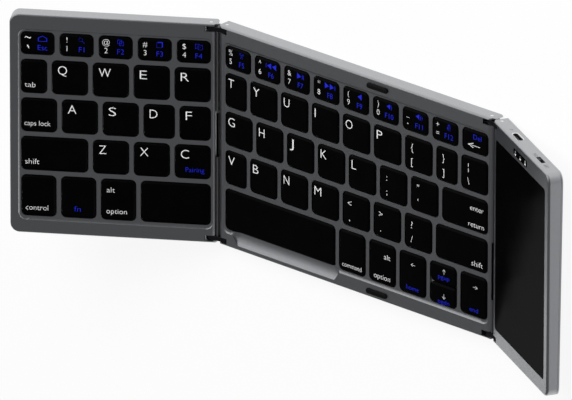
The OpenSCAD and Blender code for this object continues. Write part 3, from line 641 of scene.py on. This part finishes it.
# The shoulder and the crown, from the cap's side inwards: width and rise of each step, in mm
CROWN_STEPS = ((0.08, 0.07), (0.37, 0.1), (0.15, 0.14), (0.1, 0.16), (0.12, 0.06), (0.2, 0.02))
CROWN_RISE = sum(rise for _, rise in CROWN_STEPS) * MM

cap_meshes = {}


def keycap(width, depth):
    """A keycap with its crown at z = 0: round corners, a stepped shoulder and a hollow skirt."""
    size = (round(width, 5), round(depth, 5))
    if size not in cap_meshes:
        cap = primitive(bpy.ops.mesh.primitive_cube_add, size=1,
                        location=(0, 0, -(CAP_DEPTH + CROWN_RISE) / 2),
                        scale=(width, depth, CAP_DEPTH - CROWN_RISE))
        pick(cap, "EDGE", is_upright)
        bpy.ops.mesh.bevel(offset=CAP_CORNER, segments=6, affect="EDGES")
        pick(cap, "FACE", faces_up)
        for step, rise in CROWN_STEPS:
            bpy.ops.mesh.inset(thickness=step * MM, depth=rise * MM)
        pick(cap, "FACE", faces_down)
        bpy.ops.mesh.inset(thickness=SKIRT)
        bpy.ops.mesh.inset(thickness=SKIRT_TAPER, depth=-SKIRT_DEPTH)
        done()
        cap_meshes[size] = cap.data
        bpy.data.objects.remove(cap)
    return linked("keycap", cap_meshes[size].copy())


def add_keys(node, place):
    """Keycaps for one CAD node; returns the boxes of its solids."""
    boxes = solids_of(node, place)
    caps = []
    for low, high in boxes:
        cap = keycap(high.x - low.x, high.y - low.y)
        cap.data.transform(Matrix.Translation(((low.x + high.x) / 2, (low.y + high.y) / 2,
                                               high.z)))
        caps.append(cap)
    finish_piece(join(caps), node + "_caps", KEYCAP, BODY_OF[node], place,
                 replaces=[node])
    return boxes


# ---------------------------------------------------------------- lettering
# Sizes and places of legends are in millimetres, from the left and top edges of a key's well.
# CAPITAL_SHARE is the height of the font's capitals as a share of the font's size.
CAPITAL_SHARE = 0.682
# The ink's thickness, and how far its middle stands above the surface
INK, INK_LIFT = 0.05, 0.005 * MM
# Moves the outline of a letter inwards, which makes its strokes thinner
THIN_STROKES = -0.012


def lettering(text, height, x, y, width=None, centred=False, boxed=False,
              weight=THIN_STROKES):
    """Flat letters whose capitals, or whose whole box, have this height and their top at y."""
    bpy.ops.object.select_all(action="DESELECT")
    bpy.ops.object.text_add()
    letters = bpy.context.object
    letters.data.body = text
    letters.data.resolution_u = 3
    letters.data.offset = weight
    letters.data.extrude = INK / 2
    bpy.ops.object.convert(target="MESH")
    letters = bpy.context.object
    xs = [v.co.x for v in letters.data.vertices]
    ys = [v.co.y for v in letters.data.vertices]
    top = max(ys) if boxed else CAPITAL_SHARE
    rise = height / (top - min(ys)) if boxed else height / CAPITAL_SHARE
    stretch = width / (max(xs) - min(xs)) if width else rise
    start = (max(xs) + min(xs)) / 2 if centred else min(xs)
    letters.data.transform(Matrix.Scale(MM, 4) @ Matrix.Translation((x, -y, 0))
                           @ Matrix.Diagonal((stretch, rise, 1, 1))
                           @ Matrix.Translation((-start, -top, 0)))
    return letters


def finish_print(piece, name, paint, body, place):
    """Ink of one colour; it is flat, so it keeps its faces sharp."""
    edit(piece)
    bpy.ops.mesh.select_all(action="SELECT")
    bpy.ops.mesh.remove_doubles(threshold=INK_MERGE)
    finish_piece(piece, name, paint, body, place, smooth=0)


LETTER_HEIGHT, LETTER_Y = 3.9, 2.4
# Where the letters start on the keys of the left wing and on those of the centre panel
WING_LETTER_X, CENTRE_LETTER_X = 2.7, 1.9
# The two rows and the two columns of small legends on a number key
SMALL_HEIGHT = 2.4
LEFT_COLUMN, RIGHT_COLUMN = 3.2, 9.3
# A key with two equal signs above each other
PAIR_HEIGHT, PAIR_X = 3.0, 4.2
MAGNIFIER, PADLOCK = "\U0001f50d", "\U0001f512"
# Widths of the letters as shares of their height
LETTER_WIDTHS = dict(zip("ABCDEFGHIJKLMNOPQRSTUVWXYZ", (
    0.92, 0.77, 0.89, 0.83, 0.76, 0.68, 0.93, 0.78, 0.13, 0.55, 0.82, 0.62, 0.95,
    0.79, 0.95, 0.76, 0.98, 0.88, 0.79, 0.79, 0.79, 0.92, 1.28, 0.92, 0.92, 0.79)))


def letter_key(letter, x=WING_LETTER_X):
    width = LETTER_WIDTHS[letter] * LETTER_HEIGHT
    return [("white", letter, LETTER_HEIGHT, x, LETTER_Y, {"width": width})]


def centre_letter_keys(letters):
    return [letter_key(letter, CENTRE_LETTER_X) for letter in letters]


def function_legends(label, icon, icon_width=None):
    """The blue icon over the blue label of a number key's second use."""
    fit = {"centred": True, "boxed": True, "width": icon_width}
    return [("blue", icon, 2.6, RIGHT_COLUMN, 1.6, fit),
            ("blue", label, 2.3, RIGHT_COLUMN, 5.8, {"centred": True})]


def number_key(symbol, digit, label, icon):
    return [("white", symbol, SMALL_HEIGHT, LEFT_COLUMN, 1.7, {"centred": True}),
            ("white", digit, SMALL_HEIGHT, LEFT_COLUMN, 5.5, {"centred": True}),
            *function_legends(label, icon)]


def accent_key():
    """The first number key, with a tilde over a grave accent."""
    return [("white", "~", 0.9, LEFT_COLUMN, 2.2, {"centred": True, "boxed": True, "width": 2.6}),
            ("white", "`", 1.5, LEFT_COLUMN, 6, {"centred": True, "boxed": True, "width": 1.1}),
            *function_legends("Esc", "⌂", icon_width=3.8)]


def pair_key(upper, lower):
    return [("white", upper, PAIR_HEIGHT, PAIR_X, 3.3, {"centred": True}),
            ("white", lower, PAIR_HEIGHT, PAIR_X, 9.6, {"centred": True})]


def word(text, x, y, width, height=2.3, paint="white"):
    return (paint, text, height, x, y, {"width": width})


def arrow(text, x, y, width, height):
    return ("white", text, height, x, y, {"width": width, "boxed": True})


# Each node's keys from left to right, with the legends of each key
LEGENDS = {
    "left_number_keys": [
        accent_key(), number_key("!", "1", "F1", MAGNIFIER), number_key("@", "2", "F2", "⧉"),
        number_key("#", "3", "F3", "❐"), number_key("$", "4", "F4", "⎘")],
    "left_top_letter_keys": [letter_key(c) for c in "QWER"],
    "left_home_letter_keys": [letter_key(c) for c in "ASDF"],
    "left_bottom_letter_keys": [letter_key(c) for c in "ZX"] + [
        letter_key("C") + [word("Pairing", 4.7, 10.1, 7.9, height=2.2, paint="blue")]],
    "tab_key": [[word("tab", 1.8, 10.2, 4.5)]],
    "caps_lock_key": [[word("caps lock", 1.6, 10.2, 10.9, height=2.2)]],
    "left_shift_key": [[word("shift", 1.9, 10.1, 5.8)]],
    "control_key": [[word("control", 2.0, 13.5, 9.4)]],
    "function_key": [[word("fn", 5.6, 13.2, 2.8, paint="blue")]],
    "left_alt_key": [[word("alt", 2.6, 3.8, 3.4), word("option", 2.4, 13.3, 8.6)]],
    "left_space_bar": [[]],
    "centre_number_keys": [
        number_key("%", "5", "F5", "✂"), number_key("^", "6", "F6", "I◀◀"),
        number_key("&", "7", "F7", "▶II"), number_key("*", "8", "F8", "▶▶I"),
        number_key("(", "9", "F9", "◀"), number_key(")", "0", "F10", "◀)"),
        number_key("_", "-", "F11", "◀))"), number_key("+", "=", "F12", PADLOCK)],
    "backspace_key": [[word("Del", 6.3, 2.0, 4.4, height=2.2, paint="blue"),
                       arrow("←", 3.3, 5.9, 6.6, 2.2)]],
    "centre_top_letter_keys": centre_letter_keys("TYUIOP"),
    "bracket_keys": [pair_key("{", "["), pair_key("}", "]"), pair_key("¦", "\\")],
    "centre_home_keys": centre_letter_keys("GHJKL") + [pair_key(":", ";"), pair_key('"', "'")],
    "enter_key": [[word("enter", 15.6, 3.9, 7.3), word("return", 14.7, 11.2, 8.5)]],
    "centre_bottom_keys": centre_letter_keys("VBNM") + [
        pair_key("<", ","), pair_key(">", "."), pair_key("?", "/")],
    "right_shift_key": [[word("shift", 19.9, 11.0, 6.1)]],
    "right_space_bar": [[]],
    "meta_key": [[word("command", 2.2, 14.4, 10.6, height=2.1)]],
    "right_alt_key": [[word("alt", 8.5, 4.8, 3.4), word("option", 3.0, 14.2, 8.9)]],
    "arrow_left_key": [[arrow("←", 6.5, 4.6, 2.5, 1.4),
                        word("home", 4.1, 14.6, 6.8, height=2.0, paint="blue")]],
    "arrow_up_key": [[arrow("↑", 7.2, 2.3, 1.6, 2.3),
                      word("pgup", 4.8, 5.0, 6.2, height=1.9, paint="blue")]],
    "arrow_down_key": [[arrow("↓", 7.2, 4.3, 1.6, 2.3),
                        word("pgdn", 4.8, 6.8, 6.2, height=1.9, paint="blue")]],
    "arrow_right_key": [[arrow("→", 7.2, 4.9, 2.5, 1.4),
                         word("end", 5.4, 14.6, 4.6, height=2.0, paint="blue")]],
}
PAINTS = {"white": WHITE_PAINT, "blue": BLUE_PAINT}


def add_legends(node, place, boxes):
    """Prints a node's legends on its keycaps, as one thin piece for each colour."""
    prints = {"white": [], "blue": []}
    for (low, high), legends in zip(boxes, LEGENDS[node]):
        corner = Matrix.Translation((low.x - CAP_GAP, high.y + CAP_GAP, high.z + INK_LIFT))
        for paint, text, height, x, y, options in legends:
            letters = lettering(text, height, x, y, **options)
            letters.data.transform(corner)
            prints[paint].append(letters)
    for paint, letters in prints.items():
        if letters:
            finish_print(join(letters), f"{node}_{paint}_print", PAINTS[paint], BODY_OF[node],
                         place)


def add_keyboard():
    for node in LEGENDS:
        place = panel_place(node)
        add_legends(node, place, add_keys(node, place))


# ---------------------------------------------------------------- rear face of the right wing
# The socket shell's rolled lip, from its outer edge inwards: width and depth of each step, in mm
LIP_STEPS = ((0.12, 0), (0.13, 0.05), (0.25, 0.15))
SHELL_LIP = sum(width for width, _ in LIP_STEPS) * MM
SHELL_BACK = 1.2 * MM
# The black liner, painted shade over the shell's steel inside: how far it stands behind the
# mouth, how much shorter and lower it is than the shell, its rim and the wall at its back
SHADE_LINER_SINK, SHADE_LINER_SHORTER = 0.6 * MM, 1.5 * MM
SHADE_LINER_FIT = 2.1 * SHELL_LIP
SHADE_LINER_RIM, SHADE_LINER_BACK = 0.1 * MM, 1 * MM
TONGUE_WIDTH, TONGUE_THICKNESS, TONGUE_EDGE = 6.7 * MM, 0.7 * MM, 0.12 * MM
TONGUE_SINK = 0.9 * MM
# The signs on the rear face: each one's middle from the pin line and its top below the rim, in mm
LABEL_HEIGHT = 1.5
REAR_LABELS = (("ON", 38.4, 2.3), ("OFF", 50.8, 2.3), ("⚡", 9.9, 2.6))
# The oval lights: half their width and depth, and the rounding of their edge
LIGHT_REACH, LIGHT_DEPTH, LIGHT_EDGE = 0.7 * MM, 0.42 * MM, 0.03 * MM
# Their middles from the pin line, and their row in front of the rear edge, in mm
LIGHT_X, LIGHT_ROW = (23.3, 28.75, 34.4), 5.3
# The icons behind them, with the row of their tops in front of the rear edge, in mm
ICONS, ICON_HEIGHT, ICON_WIDTH, ICON_ROW = "⇪⚡✱", 1.1, 1.5, 3.7


def runs_rearward(edge):
    low, high = (v.co for v in edge.verts)
    return abs(high.y - low.y) > ALONG * (high - low).length


def faces_rear(face):
    return face.normal.y > ALONG


def round_ends(bar, height):
    """Turns the open box into a bar with half-round ends that runs rearward."""
    pick(bar, "EDGE", runs_rearward)
    bpy.ops.mesh.bevel(offset=END_SHARE * height, segments=8, affect="EDGES")
    bpy.ops.mesh.select_all(action="SELECT")
    bpy.ops.mesh.remove_doubles(threshold=0.01 * height)


def add_socket():
    """A steel socket shell with a rolled lip; inside it a black tongue, and a black liner as
    painted shade.
    """
    (low, high), = solids_of("charging_socket", RIGHT)
    size, middle = high - low, (low + high) / 2
    shell = primitive(bpy.ops.mesh.primitive_cube_add, size=1, location=middle, scale=size)
    round_ends(shell, size.z)
    pick(shell, "FACE", faces_rear)
    for width, depth in LIP_STEPS:
        bpy.ops.mesh.inset(thickness=width * MM, depth=-depth * MM)
    bpy.ops.mesh.extrude_region_move(
        TRANSFORM_OT_translate={"value": (0, -(size.y - SHELL_BACK), 0)})
    finish_piece(shell, "charging_socket_shell", STEEL, BODY_OF["charging_socket"],
                 RIGHT, replaces=["charging_socket"])

    # The liner paints the shade inside the shell, whose own inside is steel
    shade_liner_size = size - Vector((SHADE_LINER_FIT, SHADE_LINER_SHORTER, SHADE_LINER_FIT))
    at = Vector((middle.x, high.y - SHADE_LINER_SINK - shade_liner_size.y / 2, middle.z))
    shade_liner = primitive(bpy.ops.mesh.primitive_cube_add, size=1, location=at, scale=shade_liner_size)
    round_ends(shade_liner, shade_liner_size.z)
    pick(shade_liner, "FACE", faces_rear)
    bpy.ops.mesh.inset(thickness=SHADE_LINER_RIM)
    bpy.ops.mesh.extrude_region_move(
        TRANSFORM_OT_translate={"value": (0, -(shade_liner_size.y - SHADE_LINER_BACK), 0)})
    done()
    reach = shade_liner_size.y - TONGUE_SINK
    tongue = primitive(bpy.ops.mesh.primitive_cube_add, size=1,
                       location=(middle.x, high.y - TONGUE_SINK - reach / 2, middle.z),
                       scale=(TONGUE_WIDTH, reach, TONGUE_THICKNESS))
    pick(tongue, "EDGE", lambda edge: not runs_rearward(edge))
    bpy.ops.mesh.bevel(offset=TONGUE_EDGE, segments=2, affect="EDGES")
    done()
    # The liner is painted shade; the tongue is the socket's own black plastic
    finish_piece(join([shade_liner, tongue]), "charging_socket_tongue_and_shade_liner", BLACK_PLASTIC,
                 BODY_OF["charging_socket"], RIGHT)


def add_switch():
    soften("power_switch", SWITCH_EDGE)
    soften("power_switch_knob", KNOB_EDGE)


def add_rear_labels():
    """The signs on the rear face of the right wing, to be read from behind."""
    labels = []
    for text, x, below in REAR_LABELS:
        letters = lettering(text, LABEL_HEIGHT, 0, 0, centred=True, boxed=True)
        letters.data.transform(Matrix.Translation((x * MM, REAR_Y + INK_LIFT, -below * MM))
                               @ Matrix.Rotation(math.pi, 4, "Z")
                               @ Matrix.Rotation(math.pi / 2, 4, "X"))
        labels.append(letters)
    finish_print(join(labels), "rear_labels", GREY_PAINT, BODY_OF["right_top_case"],
                 RIGHT)


def add_indicators():
    """Three lights with an icon behind each, on the face of the indicator window."""
    (_, high), = solids_of("indicator_window", RIGHT)
    lights, icons = [], []
    for x in LIGHT_X:
        light = primitive(bpy.ops.mesh.primitive_cylinder_add, vertices=24, radius=1, depth=1,
                          scale=(LIGHT_REACH, LIGHT_DEPTH, 2 * INK * MM),
                          location=(x * MM, REAR_Y - LIGHT_ROW * MM, high.z))
        pick(light, "FACE", faces_up)
        bpy.ops.mesh.bevel(offset=LIGHT_EDGE, segments=2, affect="EDGES")
        done()
        lights.append(light)
    for x, icon in zip(LIGHT_X, ICONS):
        letters = lettering(icon, ICON_HEIGHT, x, 0, ICON_WIDTH, centred=True, boxed=True,
                            weight=0)
        letters.data.transform(Matrix.Translation((0, REAR_Y - ICON_ROW * MM,
                                                   high.z + INK_LIFT)))
        icons.append(letters)
    body = BODY_OF["indicator_window"]
    finish_print(join(lights), "indicator_lights", WHITE_PAINT, body, RIGHT)
    finish_print(join(icons), "indicator_icons", SILVER_PAINT, body, RIGHT)


def dress_nodes():
    """Every CAD node that still shows gets the finish of its slot."""
    for name, node in NODES.items():
        node.data.materials.clear()
        node.data.materials.append(SLOT_FINISHES[SLOT_OF[name]])


add_camera()
add_studio()
dress_nodes()
add_cases()
add_bumpers()
for side in ("centre", "left", "right"):
    add_screws(side)
add_keyboard()
add_socket()
add_switch()
add_rear_labels()
add_indicators()
